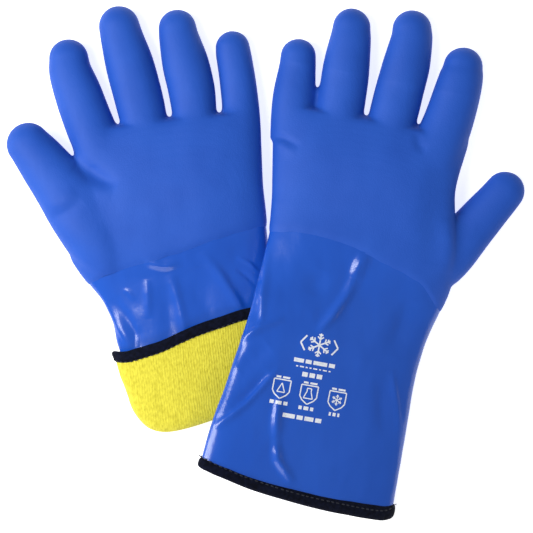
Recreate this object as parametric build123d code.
"""A pair of insulated, double-dipped PVC cold-protection gloves, laid out flat.

One glove lies palm up with its cuff turned up over itself, so that its knitted liner shows.  The
other lies back up at full length, with its gauntlet resting on the first one's cuff.

Every glove is modelled in its own frame first: the origin is the crotch between the middle and
the ring finger, +Y runs to the fingertips and +X to the thumb side.  It is then mirrored where
its thumb points the other way, turned by its lean and put in place.  Millimetres throughout.
"""
import math
import os
from dataclasses import dataclass

from build123d import *

# Layers of the wall, from the outside in.  Each is bonded to the next over a thin film.
GRIP_COAT = 0.7
BASE_COAT = 0.9
LINER = 2.3
BOND = 0.05
SHELL_DEPTH = GRIP_COAT + BOND
LINER_DEPTH = SHELL_DEPTH + BASE_COAT + BOND
CAVITY_DEPTH = LINER_DEPTH + LINER

# Fingers are tubes of oval section: this much as thick as they are wide.
FINGER_FLATNESS = 0.8
ROOT_REACH = 16.0        # how far a finger's tube runs back into the hand
THUMB_REACH = 46.0
FLEX_GAP = 0.3           # between the hand and a finger, at the line it flexes on
STRIP_MARGIN = 0.5       # room beside a finger where the hand is cut back for it
FLEX_AXIS_RISE = 0.5     # height of the flex line above the finger's root
FRONT = -3.0             # where the hand ends between two fingers
FLOOR_DIP = 0.25         # how deep the hand's underside is pressed flat

# The edge tape, and the thread that holds it.
TAPE = 0.85
TAPE_WIDTH = 7.5
STITCH_PITCH = 4.0
STITCH_LENGTH = 2.4
STITCH_RADIUS = 0.3
STITCH_CLEARANCE = 0.1   # a straight stitch over the round of the cuff
STITCH_INSET = 6.2       # from the folded edge of the tape

# The turned-up cuff lies outside the gauntlet, with room for the tape's inner leg.
TURN_DEPTH = -0.4
TURN_LINER_DEPTH = TURN_DEPTH - BASE_COAT - BOND
TURN_OUTSIDE = TURN_LINER_DEPTH - LINER

LIFT_TRAVEL = 150.0
SPAN = 600.0             # larger than anything here, for cutting blocks

FINGER_NAMES = ("thumb", "index", "middle", "ring", "little")


@dataclass
class Finger:
    """A finger's root centre and tip in the glove's frame, and its half widths there."""

    root: tuple
    tip: tuple
    root_half: float
    tip_half: float
    rise: float = 0.3    # height of the finger's underside over the table


@dataclass
class Glove:
    name: str
    side: int            # +1 where the thumb points to +X, -1 where it points to -X
    crotch: tuple        # where the glove's own origin goes
    lean: float          # degrees the fingers lean towards +X
    wrist: tuple         # (y on the centre line, degrees the thumb side drops) of the grip's edge
    hem: tuple           # the same for the gauntlet's end, or for its fold
    tape_edge: tuple     # the same for the free edge that the tape binds
    stations: list       # (y, little side x, thumb side x, half thickness, roll, lift)
    fingers: dict


PALM_UP = Glove(
    name="palm_up", side=-1, crotch=(-57.97, 89.53), lean=-6.8,
    wrist=(-79.0, 13.0), hem=(-184.5, 5.0), tape_edge=(-129.5, 14.0),
    stations=[
        (2, -55.5, 60.5, 13.0, 0, 0),
        (-22, -52.8, 57.5, 15.5, 0, 0),
        (-46, -51.8, 63.0, 16.5, 0, 0),
        (-70, -50.5, 66.0, 15.0, 0, 0.5),
        (-94, -50.5, 58.5, 12.0, 0, 2.0),
        (-118, -52.0, 48.0, 9.5, 0, 4.7),
        (-142, -51.5, 44.0, 8.0, 0, 5.8),
        (-166, -48.0, 38.5, 7.5, 0, 5.0),
        (-190, -44.0, 35.5, 7.5, 0, 4.2),
        (-214, -41.0, 33.0, 7.5, 0, 3.6),
    ],
    fingers={
        "thumb": Finger((69.5, -29.5), (93.0, 6.5), 16.3, 12.8, rise=5.0),
        "index": Finger((46.0, -5.0), (54.0, 56.3), 15.2, 11.8),
        "middle": Finger((15.2, -3.0), (22.6, 72.2), 14.6, 12.6),
        "ring": Finger((-15.4, -3.0), (-11.5, 66.1), 14.2, 11.6),
        "little": Finger((-43.0, -5.0), (-42.9, 48.8), 12.3, 10.6),
    },
)

BACK_UP = Glove(
    name="back_up", side=1, crotch=(59.33, 90.13), lean=10.95,
    wrist=(-80.5, 9.0), hem=(-236.0, 4.5), tape_edge=(-236.0, 4.5),
    stations=[
        (2, -57.0, 64.5, 13.0, 0, 0),
        (-22, -52.5, 62.0, 15.5, 0, 0),
        (-46, -47.5, 62.0, 16.5, 1.5, 0),
        (-70, -44.5, 69.0, 15.5, 5, 0.2),
        (-94, -45.0, 69.0, 13.0, 10, 0.4),
        (-118, -46.0, 62.0, 11.5, 16, 0.7),
        (-142, -48.5, 59.5, 11.0, 18.5, 1.0),
        (-166, -51.5, 59.3, 10.5, 19, 1.3),
        (-190, -55.7, 59.7, 10.0, 19, 1.3),
        (-214, -57.8, 60.4, 10.0, 19, 1.3),
        (-238, -59.0, 61.2, 10.0, 19, 1.3),
        (-262, -59.8, 62.2, 10.0, 19, 1.3),
    ],
    fingers={
        "thumb": Finger((75.0, -50.5), (97.5, -15.5), 14.9, 11.5),
        "index": Finger((47.3, -6.0), (50.9, 53.8), 15.4, 11.3),
        "middle": Finger((16.0, -3.0), (15.5, 70.6), 14.8, 12.0),
        "ring": Finger((-15.2, -4.0), (-19.4, 64.7), 14.4, 11.8),
        "little": Finger((-43.8, -8.0), (-47.6, 40.4), 12.6, 10.8),
    },
)

GLOVES = (PALM_UP, BACK_UP)


def placement(glove):
    """Carries a glove from its own frame to the table."""
    return Location((*glove.crotch, -FLOOR_DIP), (0, 0, -glove.lean))


def root_frame(glove, finger):
    """The finger's own frame at its root: +X runs to the tip, and z 0 is its centre line."""
    (rx, ry), (tx, ty) = finger.root, finger.tip
    turn = math.degrees(math.atan2(ty - ry, glove.side * (tx - rx)))
    height = finger.rise + FINGER_FLATNESS * finger.root_half
    return Location((glove.side * rx, ry, height), (0, 0, turn))


def finger_length(finger):
    return math.dist(finger.root, finger.tip)


def finger_blank(glove, finger, depth, back):
    """The finger's tube as a solid, taken in by depth, and running back into the hand."""
    root, tip = finger.root_half - depth, finger.tip_half - depth
    dome = finger_length(finger) - finger.tip_half
    side = Polyline((dome, tip), (0, root), (-back, root), (-back, 0), (dome + tip, 0))
    end = EllipticalCenterArc((dome, 0), tip, tip, start_angle=0, arc_size=90)
    blank = revolve(make_face([*side.edges(), end]), axis=Axis.X)
    return root_frame(glove, finger) * scale(blank, by=(1, 1, FINGER_FLATNESS))


def sleeve(glove, depth):
    """Palm, wrist and gauntlet as one solid of oval sections, taken in by depth."""
    sections = []
    for y, little, thumb, half, roll, lift in glove.stations:
        tilt = math.radians(roll)
        reach = (thumb - little) / 2 / math.cos(tilt)
        height = lift + math.hypot(reach * math.sin(tilt), half * math.cos(tilt))
        across = (math.cos(tilt), 0, -glove.side * math.sin(tilt))
        centre = (glove.side * (thumb + little) / 2, y, height)
        plane = Plane(origin=centre, x_dir=across, z_dir=(0, 1, 0))
        sections.append(plane * Ellipse(reach - depth, half - depth))
    return loft(sections)


def beyond(glove, line, ahead=0.0):
    """A block covering everything on the finger side of a line across the glove."""
    y, drop = line
    block = Box(SPAN, SPAN, SPAN, align=(Align.CENTER, Align.MIN, Align.CENTER))
    return Location((0, y, 0), (0, 0, -glove.side * drop)) * Pos(0, ahead, 0) * block


def short_of(glove, line, ahead=0.0):
    """The same on the cuff side."""
    y, drop = line
    block = Box(SPAN, SPAN, SPAN, align=(Align.CENTER, Align.MAX, Align.CENTER))
    return Location((0, y, 0), (0, 0, -glove.side * drop)) * Pos(0, ahead, 0) * block


def hand_solid(glove, depth, past_wrist=0.0):
    """Palm and fingers as one solid, taken in by depth, down to the end of the grip coat."""
    solid = sleeve(glove, depth) & short_of(glove, (FRONT - depth, 0))
    for name, finger in glove.fingers.items():
        reach = THUMB_REACH if name == "thumb" else ROOT_REACH
        solid = solid + finger_blank(glove, finger, depth, reach - depth)
    return solid & beyond(glove, glove.wrist, -past_wrist)


def hand_layer(glove, outer, inner):
    """One layer of the hand, open at the wrist and at the finger roots."""
    solid = hand_solid(glove, outer)
    for finger in glove.fingers.values():
        strip = Box(SPAN / 4, 2 * (finger.root_half + STRIP_MARGIN), SPAN / 4,
                    align=(Align.MIN, Align.CENTER, Align.CENTER))
        solid = solid - root_frame(glove, finger) * strip
    return solid - hand_solid(glove, inner, past_wrist=SPAN / 20)


def press_flat(grip):
    """Trims the hand's skin level, where it rests on the table."""
    table = Box(SPAN, SPAN, SPAN, align=(Align.CENTER, Align.CENTER, Align.MAX))
    return grip - Pos(0, 0, FLOOR_DIP) * table


def finger_layer(glove, finger, outer, inner):
    """One layer of a finger: a closed tube, open at its root."""
    solid = finger_blank(glove, finger, outer, ROOT_REACH)
    hollow = finger_blank(glove, finger, inner, 2 * ROOT_REACH)
    behind = Box(SPAN, SPAN, SPAN, align=(Align.MAX, Align.CENTER, Align.CENTER))
    return solid - hollow - root_frame(glove, finger) * Pos(FLEX_GAP, 0, 0) * behind


def band(glove, outer, inner, low, high, low_ahead=0.0, high_ahead=0.0):
    """A tube of the sleeve between two depths and between two lines across the glove."""
    length = outer & beyond(glove, low, low_ahead) & short_of(glove, high, high_ahead)
    return length - inner


def stitches(glove, depth, line, ahead):
    """A row of short straight stitches lying on the wall at a depth, on a line across it."""
    y, drop = line
    surface = sleeve(glove, depth - STITCH_CLEARANCE - STITCH_RADIUS)
    across = Location((0, y, 0), (0, 0, -glove.side * drop)) * Pos(0, ahead, 0)
    sheet = across * (Plane.XZ * Rectangle(SPAN, SPAN))
    loop = (surface & sheet).faces()[0].outer_wire()
    count = round(loop.length / STITCH_PITCH)
    row = []
    for n in range(count):
        here, along = loop.position_at(n / count), loop.tangent_at(n / count)
        row.append(Plane(origin=here, z_dir=along) * Cylinder(STITCH_RADIUS, STITCH_LENGTH))
    return Compound(children=row)


def build(glove):
    """All the pieces of a glove as {node: solid}, in the glove's own frame."""
    layers = {
        "grip": (0.0, GRIP_COAT),
        "shell": (SHELL_DEPTH, SHELL_DEPTH + BASE_COAT),
        "liner": (LINER_DEPTH, CAVITY_DEPTH),
    }
    pieces = {}
    for layer, (outer, inner) in layers.items():
        pieces[f"hand_{layer}"] = hand_layer(glove, outer, inner)
        for name, finger in glove.fingers.items():
            pieces[f"{name}_{layer}"] = finger_layer(glove, finger, outer, inner)
    pieces["hand_grip"] = press_flat(pieces["hand_grip"])

    turned = glove.tape_edge != glove.hem
    fold = LINER + BOND if turned else 0.0
    outside = {depth: sleeve(glove, depth) for depth in
               (SHELL_DEPTH, SHELL_DEPTH + BASE_COAT, LINER_DEPTH, CAVITY_DEPTH)}
    cavity = outside[CAVITY_DEPTH]
    pieces["gauntlet_shell"] = band(glove, outside[SHELL_DEPTH], outside[SHELL_DEPTH + BASE_COAT],
                                    glove.hem, glove.wrist, low_ahead=fold)
    pieces["gauntlet_liner"] = band(glove, outside[LINER_DEPTH], cavity,
                                    glove.hem, glove.wrist, low_ahead=fold)
    if turned:
        turn_inside, turn_mid = sleeve(glove, TURN_DEPTH), sleeve(glove, TURN_LINER_DEPTH + BOND)
        turn_face, turn_out = sleeve(glove, TURN_LINER_DEPTH), sleeve(glove, TURN_OUTSIDE)
        pieces["turned_shell"] = band(glove, turn_mid, turn_inside, glove.hem, glove.tape_edge,
                                      low_ahead=fold)
        leg = band(glove, turn_out, turn_face, glove.hem, glove.tape_edge)
        bend = band(glove, turn_out, cavity, glove.hem, glove.hem, high_ahead=LINER)
        pieces["turned_liner"] = leg + bend
        tape_depth = TURN_OUTSIDE - BOND - TAPE
        tape_outside = sleeve(glove, tape_depth)
        slot = sleeve(glove, TURN_OUTSIDE - BOND) - sleeve(glove, TURN_DEPTH + BOND)
        inside = sleeve(glove, TURN_DEPTH + BOND + TAPE)
        tape = band(glove, tape_outside, inside, glove.tape_edge, glove.tape_edge,
                    low_ahead=-TAPE_WIDTH, high_ahead=TAPE)
        tape = tape - (slot & short_of(glove, glove.tape_edge, BOND))
        row = -STITCH_INSET
    else:
        tape_depth = SHELL_DEPTH - BOND - TAPE
        tape_outside = sleeve(glove, tape_depth)
        slot = sleeve(glove, SHELL_DEPTH - BOND) - sleeve(glove, CAVITY_DEPTH + BOND)
        inside = sleeve(glove, CAVITY_DEPTH + BOND + TAPE)
        tape = band(glove, tape_outside, inside, glove.hem, glove.hem,
                    low_ahead=-TAPE, high_ahead=TAPE_WIDTH)
        tape = tape - (slot & beyond(glove, glove.hem, -BOND))
        row = STITCH_INSET
    pieces["edge_tape"] = tape
    pieces["tape_stitches"] = stitches(glove, tape_depth, glove.tape_edge, row)
    return pieces


def main():
    os.makedirs("parts", exist_ok=True)
    for glove in GLOVES:
        for name, solid in build(glove).items():
            placed = placement(glove) * solid
            export_step(placed, f"parts/{glove.name}_{name}.step")


main()
